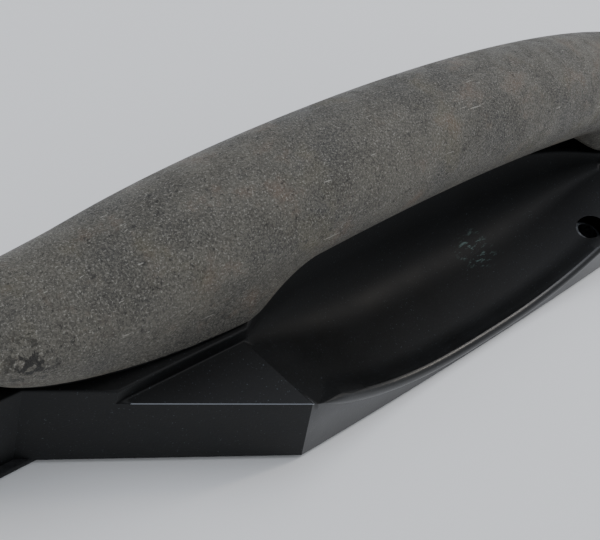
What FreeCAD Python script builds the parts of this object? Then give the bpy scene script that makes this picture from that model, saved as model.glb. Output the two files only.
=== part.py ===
"""Arched stone pull handle on a moulded base, with the fixings that hold it together.

Millimetres. X runs along the grip, -Y is the side that the fingers come in from, +Z points
away from the wall, and the origin is the middle of the grip's plan on the wall plane.
"""
import FreeCAD, Part
import math
import os

from FreeCAD import Placement, Rotation, Vector

doc = FreeCAD.newDocument("stone_pull_handle")

DIMENSIONS = {
    # stone grip
    "grip_half_length": 120.0,
    "grip_half_width": 13.15,
    "grip_half_height": 12.2,
    "grip_mid_height": 40.6,
    "arch_radius": 414.0,
    "nose_start": 85.0,
    "nose_lift": 4.3,
    "widest_start": 90.0,
    "widest_lift": 10.0,
    "pinch_start": 70.0,
    "pinch_end": 112.0,
    "tip_start": 108.0,
    "flare_start": 48.0,
    "foot_inner": 62.5,
    "foot_outer": 108.0,
    "foot_half_width": 12.6,
    # base
    "tongue_end": 118.0,
    "tongue_half_width": 5.8,
    "neck_end": 103.25,
    "front_corner": 58.1,
    "front_depth": 32.0,
    "front_bow": 0.8,
    "front_draft": 0.09,
    "rear_depth": 14.0,
    "rear_corner": 92.0,
    "seat_top": 21.0,
    "seat_side": 13.2,
    "shelf_top": 17.6,
    "shell_wall": 3.0,
    "shell_ceiling": 3.5,
    "rear_cavity_front": 1.0,
    "cavity_end": 109.25,
    "shelf_cavity_gap": 4.0,
    "shelf_cavity_front": 7.0,
    # finger cup
    "cup_half_length": 63.0,
    "cup_floor": 2.4,
    "cup_valley": 5.8,
    "cup_rim": 1.5,
    "cup_end_valley": 15.6,
    "bead_radius": 1.5,
    "bead_overhang": 0.3,
    # thin layers
    "wall_gasket_thick": 1.2,
    "wall_gasket_inset": 0.7,
    "wall_gasket_tongue": 7.4,
    "seat_gasket_thick": 1.2,
    "seat_gasket_inset": 0.5,
    # plate and fixings
    "plate_bottom": 8.0,
    "plate_thick": 2.5,
    "plate_end": 102.0,
    "plate_end_half_width": 2.4,
    "plate_front": 8.0,
    "plate_rear": 9.5,
    "screw_place": 80.0,
    "screw_radius": 3.0,
    "screw_length": 25.0,
    "screw_head_radius": 5.25,
    "screw_head_thick": 3.3,
    "screw_socket_radius": 2.31,
    "screw_socket_depth": 2.0,
    "washer_radius": 6.0,
    "washer_thick": 1.0,
    "spring_washer_radius": 5.5,
    "spring_washer_thick": 1.6,
    "spring_washer_split": 0.8,
    "sleeve_radius": 5.0,
    "sleeve_bore": 3.3,
    "insert_radius": 4.5,
    "insert_length": 12.0,
    "insert_hole": 13.0,
    "resin_thick": 0.5,
    "dowel_place": 67.5,
    "dowel_radius": 2.0,
    "dowel_bottom": 14.5,
    "dowel_top": 28.0,
    "standoff_place": 96.0,
    "standoff_radius": 5.0,
    "standoff_thread": 2.5,
    "ferrule_place": 48.0,
    "ferrule_front": 25.0,
    "ferrule_radius": 3.5,
    "ferrule_bore": 2.75,
    "ferrule_top": 9.4,
    "tapper_place": 30.0,
    "tapper_rear": 4.5,
    "tapper_radius": 1.75,
    "tapper_length": 9.0,
    "tapper_head_radius": 3.5,
    "tapper_head_thick": 2.2,
    "boss_radius": 3.6,
}
sheet = doc.addObject("Spreadsheet::Sheet", "sizes")
for row, (alias, size) in enumerate(DIMENSIONS.items(), start=1):
    sheet.set(f"A{row}", alias)
    sheet.set(f"B{row}", str(size))
    sheet.setAlias(f"B{row}", alias)
doc.recompute()

CUP_POWER = 2.6        # how late the cup floor climbs to the shelf
NOSE_POWER = 5.0       # how blunt the nose is in side view
PLAN_POWER = 6.5       # how blunt the nose is in plan
PINCH_POWER = 0.8      # how flat the flanks under the nose are
FOOT_POWER = 2.2       # how blunt the foot print is
FLARE_POWER = 2.4      # how late the bar deepens on its way into a foot
RIM_POWER = 3.5        # how late the cup's rear rim swings forward
VALLEY_POWER = 2.0     # the same at the foot of the rear wall
SECTION_POINTS = 12     # along each half of a section
HALF_SECTIONS = 26
MARGIN = 30.0          # how far a cutting solid reaches past what it cuts
SIDES = {"left": -1, "right": 1}


def size(alias):
    """A driving dimension, read from the sheet."""
    return float(sheet.get(alias))


def link(item, prop, expression):
    """Bind one property to the sheet; @name stands for a cell."""
    item.setExpression(prop, expression.replace("@", "sizes."))


def keep(item, label):
    item.Label = label
    return item


def feature(label, shape):
    item = doc.addObject("Part::Feature", label)
    item.Shape = shape
    item.Placement = Placement()
    return item


def cylinder(name, radius, height, x="0", y="0", z="0"):
    """A Part::Cylinder along Z whose sizes and place are expressions."""
    item = doc.addObject("Part::Cylinder", name)
    link(item, "Radius", radius)
    link(item, "Height", height)
    link(item, "Placement.Base.x", x)
    link(item, "Placement.Base.y", y)
    link(item, "Placement.Base.z", z)
    return item


def cut(name, base, tool):
    item = doc.addObject("Part::Cut", name)
    item.Base = base
    item.Tool = tool
    return item


def fuse(name, *items):
    item = doc.addObject("Part::MultiFuse", name)
    item.Shapes = list(items)
    return item


def group(name, *items):
    """Separate solids in one node."""
    item = doc.addObject("Part::Compound", name)
    item.Links = list(items)
    return item


def tube(name, radius, bore, height, x="0", y="0", z="0"):
    outer = cylinder(name + "_outer", radius, height, x, y, z)
    inner = cylinder(name + "_bore", bore, height, x, y, z)
    return cut(name, outer, inner)


def sketch_on(body, name, plane, height=None):
    """A sketch on one of the body's own origin planes, raised along its normal."""
    sketch = body.newObject("Sketcher::SketchObject", name)
    sketch.AttachmentSupport = [(f, "") for f in body.Origin.OriginFeatures if f.Role == plane]
    sketch.MapMode = "FlatFace"
    if height:
        link(sketch, "AttachmentOffset.Base.z", height)
    return sketch


def draw(sketch, points, bulges=None):
    """Close an outline through points; bulges maps an edge's number to a point on its arc."""
    bulges = bulges or {}
    for number, start in enumerate(points):
        end = points[(number + 1) % len(points)]
        first, last = Vector(*start, 0), Vector(*end, 0)
        if number in bulges:
            sketch.addGeometry(Part.Arc(first, Vector(*bulges[number], 0), last), False)
        else:
            sketch.addGeometry(Part.LineSegment(first, last), False)


def pad(body, sketch, name, length):
    item = body.newObject("PartDesign::Pad", name)
    item.Profile = sketch
    link(item, "Length", length)
    return item


def pocket(body, sketch, name, length, reverse=True):
    item = body.newObject("PartDesign::Pocket", name)
    item.Profile = sketch
    item.Reversed = reverse
    link(item, "Length", length)
    return item


# ---------------------------------------------------------------- outlines
front = size("front_depth")
bow = size("front_bow")
corner = size("front_corner")
neck = size("neck_end")
tongue = size("tongue_end")
tongue_half = size("tongue_half_width")
rear = size("rear_depth")
rear_corner = size("rear_corner")
seat_side = size("seat_side")
slant = (front - tongue_half) / (neck - corner)
rear_slant = (rear - tongue_half) / (neck - rear_corner)
stone_bottom = size("seat_top") + size("seat_gasket_thick")


def slant_x(y, inset=0.0):
    """Where the slanted front facet, moved in by inset, is at a depth y in front of the grip."""
    return neck - (y - tongue_half) / slant - inset * math.hypot(1.0, slant) / slant


def rear_x(y, inset=0.0):
    """The same for the facet behind the grip."""
    return neck - (y - tongue_half) / rear_slant - inset * math.hypot(1.0, rear_slant) / rear_slant


def base_outline(half=tongue_half, inset=0.0):
    """Plan of the base: bowed front, slanted facets and a round-ended tongue each side."""
    end = tongue - tongue_half
    near, far = front - inset, rear - inset
    right = [(slant_x(near, inset), -near), (slant_x(half, inset), -half), (end, -half),
             (end, half), (rear_x(half, inset), half), (rear_x(far, inset), far)]
    left = [(-x, y) for x, y in reversed(right)]
    points = right + left
    bulges = {2: (end + half, 0.0), len(points) - 4: (-end - half, 0.0),
              len(points) - 1: (0.0, -near - bow)}
    return points, bulges


# ---------------------------------------------------------------- base shell
def cup_floor(x):
    reach = min(abs(x) / size("cup_half_length"), 1.0)
    return size("cup_floor") + (size("shelf_top") - size("cup_floor")) * reach ** CUP_POWER


def plan_wire(middle, end, power, z):
    """Plan of the cup's space at one height, its rear side swinging forward to both ends."""
    half = size("cup_half_length")
    steps = 8
    points = [Vector(half * i / steps, -middle - (end - middle) * abs(i / steps) ** power, z)
              for i in range(-steps, steps + 1)]
    left, right = points[0], points[-1]
    corners = [right, Vector(half, -front - MARGIN, z), Vector(-half, -front - MARGIN, z), left]
    rear = Part.BSplineCurve()
    rear.interpolate(points)
    edges = [rear.toShape()]
    edges += [Part.LineSegment(a, b).toShape() for a, b in zip(corners, corners[1:])]
    return Part.Wire(edges)


def cup_space():
    """What is scooped out: above the floor curve and in front of the leaning rear wall."""
    half = size("cup_half_length")
    top = size("seat_top") + MARGIN
    steps = 12
    points = [Vector(half * i / steps, -front - MARGIN, cup_floor(half * i / steps))
              for i in range(-steps, steps + 1)]
    floor = Part.BSplineCurve()
    floor.interpolate(points)
    left, right = points[0], points[-1]
    high_left, high_right = Vector(left.x, left.y, top), Vector(right.x, right.y, top)
    rim = [Part.LineSegment(right, high_right), Part.LineSegment(high_right, high_left),
           Part.LineSegment(high_left, left)]
    profile = Part.Wire([floor.toShape()] + [line.toShape() for line in rim])
    above_floor = Part.Face(profile).extrude(Vector(0, front + 2 * MARGIN, 0))
    low = plan_wire(size("cup_valley"), size("cup_end_valley"), VALLEY_POWER, size("cup_floor"))
    high = plan_wire(size("cup_rim"), size("seat_side"), RIM_POWER, size("seat_top"))
    lean = Part.makeLoft([low, high], True, True)
    over = Part.Face(high).extrude(Vector(0, 0, MARGIN))
    under = Part.Face(low).extrude(Vector(0, 0, -MARGIN))
    return above_floor.common(lean.fuse([over, under]))


def front_lean():
    """What is taken off the bowed front so that it leans back as it rises."""
    top = size("seat_top") + MARGIN
    wires = []
    for z in (0.0, top):
        back = size("front_draft") * z
        wide = corner + back / slant + 1.0
        sag = bow * (wide / corner) ** 2
        left = Vector(-wide, -front - bow + sag + back, z)
        right = Vector(wide, -front - bow + sag + back, z)
        arc = Part.Arc(left, Vector(0, -front - bow + back, z), right).toShape()
        ends = [right, Vector(wide, -front - MARGIN, z), Vector(-wide, -front - MARGIN, z), left]
        lines = [Part.LineSegment(p, q).toShape() for p, q in zip(ends, ends[1:])]
        wires.append(Part.Wire([arc] + lines))
    return Part.makeLoft(wires, True, True)


def bead():
    """The rolled lip: a round rod laid along the top of the front wall."""
    radius = size("bead_radius")
    steps = 10
    reach = size("cup_half_length") - 4.5
    spine = []
    for i in range(-steps, steps + 1):
        x = reach * i / steps
        z = cup_floor(x)
        wall = -front - bow * (1 - (x / corner) ** 2) + size("front_draft") * z
        y = wall + radius - size("bead_overhang")
        spine.append(Vector(x, y, z))
    curve = Part.BSplineCurve()
    curve.interpolate(spine)
    path = Part.Wire(curve.toShape())
    along = curve.tangent(curve.FirstParameter)[0]
    ring = Part.Wire(Part.Circle(spine[0], along, radius).toShape())
    return path.makePipeShell([ring], True, True)


def make_base():
    body = doc.addObject("PartDesign::Body", "base_blank")
    outline = sketch_on(body, "base_outline", "XY_Plane", "@wall_gasket_thick")
    draw(outline, *base_outline())
    pad(body, outline, "base_block", "@seat_top - @wall_gasket_thick")

    # the shelves: everything in front of the seats is lower
    step = sketch_on(body, "shelf_step", "XY_Plane", "@shelf_top")
    wide = tongue + MARGIN
    draw(step, [(-wide, -seat_side), (-wide, -front - MARGIN),
                (wide, -front - MARGIN), (wide, -seat_side)])
    pocket(body, step, "shelf_pocket", "@seat_top")

    # the moulding is hollow from behind
    wall = size("shell_wall")
    hollow = sketch_on(body, "rear_hollow", "XY_Plane")
    inner = size("foot_inner") + wall + 2.0
    side = seat_side - wall - 1.0
    channel = -size("rear_cavity_front")
    end = size("cavity_end")
    near = slant_x(side, wall)
    throat = neck - wall / 2
    half = tongue_half - wall * 0.75
    draw(hollow, [
        (-inner, channel), (inner, channel), (inner, -side), (near, -side), (throat, -half),
        (end, -half), (end, half), (throat, half), (rear_corner - wall, rear - wall),
        (-rear_corner + wall, rear - wall), (-throat, half), (-end, half), (-end, -half),
        (-throat, -half), (-near, -side), (-inner, -side)])
    pocket(body, hollow, "rear_cavity", "@seat_top - @shell_ceiling")
    triangles = sketch_on(body, "shelf_hollows", "XY_Plane")
    for sign in SIDES.values():
        near_x = sign * (corner + size("shelf_cavity_gap"))
        back_y = -seat_side - wall / 2
        draw(triangles, [(near_x, -front + size("shelf_cavity_front")), (near_x, back_y),
                         (sign * slant_x(-back_y, wall), back_y)])
    pocket(body, triangles, "shelf_cavities", "@shelf_top - @shell_wall")
    doc.recompute()

    scoop = feature("cup_space", cup_space())
    lean = feature("front_lean", front_lean())
    scooped = cut("base_scooped", cut("base_leaning", body, lean), scoop)
    lip = feature("rolled_lip", bead())
    bosses = []
    for side_name, sign in SIDES.items():
        bosses.append(cylinder(f"tapper_boss_{side_name}", "@boss_radius",
                               "@seat_top - @shell_ceiling - @plate_bottom - @plate_thick + 0.5",
                               f"{sign} * @tapper_place", "@tapper_rear",
                               "@plate_bottom + @plate_thick"))
        bosses.append(cylinder(f"dowel_boss_{side_name}", "@dowel_radius + 2",
                               "@seat_top - @shell_ceiling - @dowel_bottom + 2.5",
                               f"{sign} * @dowel_place", "0", "@dowel_bottom - 2"))
    solid = fuse("base_solid", scooped, lip, *bosses)
    holes = [cylinder("ferrule_hole", "@ferrule_radius", "@seat_top",
                      "@ferrule_place", "-@ferrule_front")]
    for side_name, sign in SIDES.items():
        x = f"{sign} * "
        holes.append(cylinder(f"sleeve_hole_{side_name}", "@sleeve_radius", "@seat_top",
                              x + "@screw_place", "0", "@plate_bottom"))
        holes.append(cylinder(f"dowel_hole_{side_name}", "@dowel_radius", "@seat_top",
                              x + "@dowel_place", "0", "@dowel_bottom"))
        holes.append(cylinder(f"tapper_hole_{side_name}", "@tapper_radius", "@tapper_length",
                              x + "@tapper_place", "@tapper_rear", "@plate_bottom"))
    return keep(cut("base_cut", solid, fuse("base_holes", *holes)), "base_shell")


# ---------------------------------------------------------------- stone grip
def past(x, start):
    """How much of the way from a place on the grip to its tip is behind x, 0 to 1."""
    return max(abs(x) - start, 0.0) / (size("grip_half_length") - start)


def blunt(x, power):
    return math.sqrt(max(1.0 - (abs(x) / size("grip_half_length")) ** power, 0.0))


def tip_fade(x):
    """1 along the grip, easing to 0 over its last few millimetres, so that the tip is round."""
    reach = min(past(x, size("tip_start")), 1.0)
    return 1.0 - reach ** 2 * (3.0 - 2.0 * reach)


def grip_rise(x):
    """How far the section reaches above its widest line, which climbs towards the tip."""
    rise = size("grip_half_height") * blunt(x, NOSE_POWER)
    lift = size("widest_lift") * past(x, size("widest_start")) ** 1.5 * tip_fade(x)
    return max(rise - lift, 0.15 * rise)


def grip_centre(x):
    """Height of the widest line of the section."""
    radius = size("arch_radius")
    spine = size("grip_mid_height") - radius + math.sqrt(radius ** 2 - x ** 2)
    spine += size("nose_lift") * past(x, size("nose_start")) ** 2
    return spine + size("grip_half_height") * blunt(x, NOSE_POWER) - grip_rise(x)


def flank_power(x):
    """1 where the lower half of the section is half an ellipse, more where it is flatter."""
    reach = (abs(x) - size("pinch_start")) / (size("pinch_end") - size("pinch_start"))
    return 1.0 + PINCH_POWER * min(max(reach, 0.0), 1.0) * tip_fade(x)


def grip_drop(x):
    """How far the section reaches below its centre, before the underside is cut."""
    reach = abs(x)
    above_seat = grip_centre(x) - stone_bottom
    inner, outer = size("foot_inner"), size("foot_outer")
    half = size("grip_half_width") * blunt(x, PLAN_POWER)
    if reach >= outer:
        return above_seat * math.sqrt(max(1.0 - ((reach - outer)
                                                 / (size("grip_half_length") - outer)) ** 2, 0.0))
    if reach >= inner:
        print_half = size("foot_half_width") * math.sqrt(
            1.0 - ((reach - inner) / (outer - inner)) ** FOOT_POWER)
        return above_seat / math.sqrt(1.0 - (print_half / half) ** (2 / flank_power(x)))
    full = grip_drop(inner)
    start = size("flare_start")
    blend = max(reach - start, 0.0) / (inner - start)
    return size("grip_half_height") + (full - size("grip_half_height")) * blend ** FLARE_POWER


def grip_section(x):
    """A closed curve across the grip: half an ellipse above, a deeper half below."""
    half = size("grip_half_width") * blunt(x, PLAN_POWER)
    edges = []
    for reach, power, up in ((grip_rise(x), 1.0, 1), (grip_drop(x), flank_power(x), -1)):
        points = []
        for i in range(SECTION_POINTS + 1):
            turn = math.pi * i / SECTION_POINTS
            wide = math.copysign(abs(math.cos(turn)) ** power, math.cos(turn))
            points.append(Vector(x, half * wide * up,
                                 grip_centre(x) + reach * math.sin(turn) * up))
        curve = Part.BSplineCurve()
        curve.interpolate(points, InitialTangent=Vector(0, 0, reach * up),
                          FinalTangent=Vector(0, 0, -reach * up))
        edges.append(curve.toShape())
    return Part.Wire(edges)


def underside_tool():
    """Everything under the feet and under the flares that run up to the bar."""
    inner, start = size("foot_inner"), size("flare_start")
    bar_bottom = grip_centre(start) - size("grip_half_height")
    steps = 8
    arch = []
    for i in range(steps + 1):
        blend = i / steps
        z = bar_bottom + (stone_bottom - bar_bottom) * (1 - math.cos(math.pi * blend)) / 2
        arch.append((start + (inner - start) * blend, z))
    wide = size("grip_half_length") + MARGIN
    right = arch + [(wide, stone_bottom), (wide, -MARGIN), (start, -MARGIN)]
    pieces = []
    for sign in SIDES.values():
        wire = Part.makePolygon([Vector(sign * x, -MARGIN, z) for x, z in right + right[:1]])
        pieces.append(Part.Face(wire).extrude(Vector(0, 2 * MARGIN, 0)))
    return pieces


def make_grip():
    length = size("grip_half_length")
    nose = math.asin(0.9985)
    places = [length * math.sin(nose * i / HALF_SECTIONS)
              for i in range(-HALF_SECTIONS, HALF_SECTIONS + 1)]
    blank = Part.makeLoft([grip_section(x) for x in places], True, True)
    stone = feature("grip_blank", blank.cut(underside_tool()))
    holes = []
    for side_name, sign in SIDES.items():
        x = f"{sign} * "
        holes.append(cylinder(f"insert_hole_{side_name}", "@insert_radius + @resin_thick",
                              "@insert_hole", x + "@screw_place", "0",
                              "@seat_top + @seat_gasket_thick"))
        holes.append(cylinder(f"dowel_socket_{side_name}", "@dowel_radius",
                              "@dowel_top - @seat_top", x + "@dowel_place", "0", "@seat_top"))
    return keep(cut("grip_cut", stone, fuse("grip_holes", *holes)), "stone_grip")


# ---------------------------------------------------------------- thin layers
def make_seat_gasket(side_name, sign):
    """A flat pad under one foot, shaped to its print, with holes for screw and dowel."""
    body = doc.addObject("PartDesign::Body", f"seat_pad_{side_name}")
    plan = sketch_on(body, f"seat_pad_plan_{side_name}", "XY_Plane", "@seat_top")
    inset = size("seat_gasket_inset")
    inner, outer = size("foot_inner") + inset, size("foot_outer") - inset
    half = size("foot_half_width") - inset
    steps = 10
    curve = Part.BSplineCurve()
    points = []
    for i in range(-steps, steps + 1):
        blend = math.sin(math.pi / 2 * i / steps)
        along = (1.0 - abs(blend) ** 2) ** (1 / FOOT_POWER)
        points.append(Vector(sign * (inner + (outer - inner) * along), half * blend, 0))
    curve.interpolate(points)
    plan.addGeometry(curve, False)
    plan.addGeometry(Part.LineSegment(points[-1], points[0]), False)
    pad(body, plan, f"seat_pad_pad_{side_name}", "@seat_gasket_thick")
    doc.recompute()
    holes = fuse(f"seat_pad_holes_{side_name}",
                 cylinder(f"pad_screw_hole_{side_name}", "@sleeve_bore", "@seat_gasket_thick",
                          f"{sign} * @screw_place", "0", "@seat_top"),
                 cylinder(f"pad_dowel_hole_{side_name}", "@dowel_radius", "@seat_gasket_thick",
                          f"{sign} * @dowel_place", "0", "@seat_top"))
    return keep(cut(f"seat_pad_cut_{side_name}", body, holes), f"seat_gasket_{side_name}")


def make_wall_gasket():
    body = doc.addObject("PartDesign::Body", "foam_sheet")
    plan = sketch_on(body, "foam_plan", "XY_Plane")
    draw(plan, *base_outline(size("wall_gasket_tongue"), size("wall_gasket_inset")))
    pad(body, plan, "foam_pad", "@wall_gasket_thick")
    doc.recompute()
    holes = [cylinder("foam_ferrule_hole", "@ferrule_radius + 0.5", "@wall_gasket_thick",
                      "@ferrule_place", "-@ferrule_front")]
    for side_name, sign in SIDES.items():
        holes.append(cylinder(f"foam_standoff_hole_{side_name}", "@standoff_radius + 0.5",
                              "@wall_gasket_thick", f"{sign} * @standoff_place"))
        holes.append(cylinder(f"foam_screw_hole_{side_name}", "@washer_radius + 1",
                              "@wall_gasket_thick", f"{sign} * @screw_place"))
    return keep(cut("foam_cut", body, fuse("foam_holes", *holes)), "wall_gasket")


# ---------------------------------------------------------------- plate and fixings
def make_plate():
    """The steel strip that spreads the pull between both feet."""
    body = doc.addObject("PartDesign::Body", "strip")
    plan = sketch_on(body, "strip_plan", "XY_Plane", "@plate_bottom")
    inner = size("foot_inner") + size("shell_wall") + 3.0
    channel = 0.5 - size("rear_cavity_front")
    front_edge, rear_edge = -size("plate_front"), size("plate_rear")
    near = slant_x(-front_edge + size("shell_wall") + 3.0) - 2.0
    end = size("plate_end")
    half = size("plate_end_half_width")
    draw(plan, [
        (-inner, channel), (inner, channel), (inner, front_edge), (near, front_edge),
        (end, -half), (end, half), (near, rear_edge), (-near, rear_edge),
        (-end, half), (-end, -half), (-near, front_edge), (-inner, front_edge)])
    pad(body, plan, "strip_pad", "@plate_thick")
    doc.recompute()
    holes = []
    for side_name, sign in SIDES.items():
        x = f"{sign} * "
        holes.append(cylinder(f"strip_screw_hole_{side_name}", "@sleeve_bore", "@plate_thick",
                              x + "@screw_place", "0", "@plate_bottom"))
        holes.append(cylinder(f"strip_standoff_hole_{side_name}", "@standoff_radius - 1",
                              "@plate_thick", x + "@standoff_place", "0", "@plate_bottom"))
        holes.append(cylinder(f"strip_tapper_hole_{side_name}", "@tapper_radius + 0.2",
                              "@plate_thick", x + "@tapper_place", "@tapper_rear",
                              "@plate_bottom"))
    return keep(cut("strip_cut", body, fuse("strip_holes", *holes)), "backing_plate")


def make_foot_screw(side_name, sign):
    """A button-head machine screw, driven from behind, with a hexagon socket."""
    x = f"{sign} * @screw_place"
    under_head = "@plate_bottom - @washer_thick - @spring_washer_thick"
    head = cylinder(f"foot_head_{side_name}", "@screw_head_radius", "@screw_head_thick",
                    x, "0", under_head + " - @screw_head_thick")
    shank = cylinder(f"foot_shank_{side_name}", "@screw_radius", "@screw_length + 0.5",
                     x, "0", under_head + " - 0.5")
    socket = doc.addObject("Part::Prism", f"foot_socket_{side_name}")
    socket.Polygon = 6
    link(socket, "Circumradius", "@screw_socket_radius")
    link(socket, "Height", "@screw_socket_depth")
    link(socket, "Placement.Base.x", x)
    link(socket, "Placement.Base.z", under_head + " - @screw_head_thick")
    return keep(cut(f"foot_screw_cut_{side_name}",
                    fuse(f"foot_screw_solid_{side_name}", head, shank), socket),
                f"foot_screw_{side_name}")


def make_washers(side_name, sign):
    x = f"{sign} * @screw_place"
    flat = tube(f"flat_{side_name}", "@washer_radius", "@screw_radius + 0.2", "@washer_thick",
                x, "0", "@plate_bottom - @washer_thick")
    spring = tube(f"spring_{side_name}", "@spring_washer_radius", "@screw_radius + 0.1",
                  "@spring_washer_thick", x, "0",
                  "@plate_bottom - @washer_thick - @spring_washer_thick")
    split = doc.addObject("Part::Box", f"split_{side_name}")
    link(split, "Length", "@spring_washer_radius")
    link(split, "Width", "@spring_washer_split")
    link(split, "Height", "@spring_washer_thick")
    link(split, "Placement.Base.x", x)
    link(split, "Placement.Base.z", "@plate_bottom - @washer_thick - @spring_washer_thick")
    return [keep(flat, f"flat_washer_{side_name}"),
            keep(cut(f"spring_cut_{side_name}", spring, split), f"spring_washer_{side_name}")]


def make_sleeve(side_name, sign):
    item = tube(f"sleeve_{side_name}", "@sleeve_radius", "@sleeve_bore",
                "@seat_top - @plate_bottom - @plate_thick", f"{sign} * @screw_place", "0",
                "@plate_bottom + @plate_thick")
    return keep(item, f"spacer_sleeve_{side_name}")


def make_insert(side_name, sign):
    item = tube(f"insert_{side_name}", "@insert_radius", "@screw_radius", "@insert_length",
                f"{sign} * @screw_place", "0", "@seat_top + @seat_gasket_thick")
    return keep(item, f"threaded_insert_{side_name}")


def make_resin(side_name, sign):
    x = f"{sign} * @screw_place"
    bottom = "@seat_top + @seat_gasket_thick"
    outer = cylinder(f"resin_outer_{side_name}", "@insert_radius + @resin_thick",
                     "@insert_hole", x, "0", bottom)
    inner = cylinder(f"resin_inner_{side_name}", "@insert_radius", "@insert_length",
                     x, "0", bottom)
    return keep(cut(f"resin_cut_{side_name}", outer, inner), f"bonding_resin_{side_name}")


def make_dowel(side_name, sign):
    item = cylinder(f"dowel_{side_name}", "@dowel_radius", "@dowel_top - @dowel_bottom",
                    f"{sign} * @dowel_place", "0", "@dowel_bottom")
    return keep(item, f"locating_dowel_{side_name}")


def make_standoff(side_name, sign):
    """A threaded standoff pressed into the plate; the wall bolt goes in from behind."""
    x = f"{sign} * @standoff_place"
    barrel = cylinder(f"standoff_barrel_{side_name}", "@standoff_radius",
                      "@plate_bottom - @wall_gasket_thick", x, "0", "@wall_gasket_thick")
    spigot = cylinder(f"standoff_spigot_{side_name}", "@standoff_radius - 1",
                      "@plate_bottom + @plate_thick - @wall_gasket_thick", x, "0",
                      "@wall_gasket_thick")
    thread = cylinder(f"standoff_thread_{side_name}", "@standoff_thread",
                      "@plate_bottom + @plate_thick", x)
    return keep(cut(f"standoff_cut_{side_name}",
                    fuse(f"standoff_solid_{side_name}", barrel, spigot), thread),
                f"mount_standoff_{side_name}")


def make_ferrule():
    item = tube("ferrule", "@ferrule_radius", "@ferrule_bore",
                "@ferrule_top - @wall_gasket_thick", "@ferrule_place", "-@ferrule_front",
                "@wall_gasket_thick")
    return keep(item, "cup_ferrule")


def make_plate_screws():
    """Two self-tapping screws that hold the plate in the moulding, as one group."""
    screws = []
    for side_name, sign in SIDES.items():
        x = f"{sign} * @tapper_place"
        head = cylinder(f"tapper_head_{side_name}", "@tapper_head_radius",
                        "@tapper_head_thick", x, "@tapper_rear",
                        "@plate_bottom - @tapper_head_thick")
        shank = cylinder(f"tapper_shank_{side_name}", "@tapper_radius", "@tapper_length",
                         x, "@tapper_rear", "@plate_bottom")
        screws.append(fuse(f"tapper_{side_name}", head, shank))
    return keep(group("tapper_pair", *screws), "plate_screws")


# ---------------------------------------------------------------- build, check, write
nodes = [make_base(), make_grip(), make_wall_gasket(), make_plate(), make_ferrule(),
         make_plate_screws()]
for side_name, sign in SIDES.items():
    nodes.append(make_seat_gasket(side_name, sign))
    nodes.append(make_foot_screw(side_name, sign))
    nodes += make_washers(side_name, sign)
    for maker in (make_sleeve, make_insert, make_resin, make_dowel, make_standoff):
        nodes.append(maker(side_name, sign))
doc.recompute()

failed = [item.Name for item in doc.Objects if {"Invalid", "Error"} & set(item.State)]
if failed:
    raise SystemExit(f"these objects failed: {failed}")
os.makedirs("parts", exist_ok=True)
for node in nodes:
    if node.Shape.isNull() or not node.Shape.isValid() or not node.Shape.Solids:
        raise SystemExit(f"{node.Label} has no sound solid")
    node.Shape.exportStep(f"parts/{node.Label}.step")
    box = node.Shape.BoundBox
    print(f"{node.Label:24s} {len(node.Shape.Solids)} solid {node.Shape.Volume:10.1f} mm3  "
          f"x {box.XMin:7.1f} {box.XMax:7.1f}  y {box.YMin:6.1f} {box.YMax:6.1f}  "
          f"z {box.ZMin:5.1f} {box.ZMax:5.1f}")
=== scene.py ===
"""Looks of an arched stone pull handle on a black moulded base, built up in its own order."""
import math

import bmesh
import bpy
import numpy as np
from mathutils import Matrix, Vector


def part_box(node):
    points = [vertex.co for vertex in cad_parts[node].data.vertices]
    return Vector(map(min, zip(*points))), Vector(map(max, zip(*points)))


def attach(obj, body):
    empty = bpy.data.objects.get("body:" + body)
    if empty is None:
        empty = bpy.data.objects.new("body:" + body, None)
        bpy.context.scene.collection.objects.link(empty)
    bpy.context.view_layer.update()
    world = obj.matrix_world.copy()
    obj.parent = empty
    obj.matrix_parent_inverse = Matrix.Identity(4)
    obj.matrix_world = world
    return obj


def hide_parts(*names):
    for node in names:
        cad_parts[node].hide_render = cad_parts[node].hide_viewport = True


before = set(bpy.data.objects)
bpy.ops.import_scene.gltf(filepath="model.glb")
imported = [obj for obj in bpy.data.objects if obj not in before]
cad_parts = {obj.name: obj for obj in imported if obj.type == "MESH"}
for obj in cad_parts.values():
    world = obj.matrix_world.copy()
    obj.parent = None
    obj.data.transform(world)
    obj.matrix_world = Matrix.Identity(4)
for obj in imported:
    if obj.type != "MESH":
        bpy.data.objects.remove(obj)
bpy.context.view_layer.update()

# ------------------------------------------------------------------ camera, table and lights
# A hand-held close view from above the left foot: the frame is rolled and cuts both ends.
# The handle lies on its back on a matt white table, under a softbox and one bright strip.
MM = 0.001
VIEW_TURN = math.radians(57.93)
VIEW_DROP = math.radians(42.94)
VIEW_ROLL = math.radians(22.92)
VIEW_PLACE = Vector((-153.6, -75.3, 141.3)) * MM
LENS = 54.58
TABLE_HALF = 2500


def linear(code):
    """An sRGB hex colour as linear RGBA."""
    channels = [int(code[i:i + 2], 16) / 255 for i in (1, 3, 5)]
    return tuple(c / 12.92 if c <= 0.04045 else ((c + 0.055) / 1.055) ** 2.4
                 for c in channels) + (1.0,)


def add_node(tree, kind, settings=None, **links):
    """Add a node. Settings are its attributes or input values; a link named after an input,
    or i and the input's number, joins a socket to it."""
    node = tree.nodes.new(kind)
    for key, value in (settings or {}).items():
        if isinstance(key, str) and hasattr(node, key):
            setattr(node, key, value)
        else:
            node.inputs[key].default_value = value
    for key, source in links.items():
        socket = int(key[1:]) if key[0] == "i" and key[1:].isdigit() else key.replace("_", " ")
        tree.links.new(source, node.inputs[socket])
    return node


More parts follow.
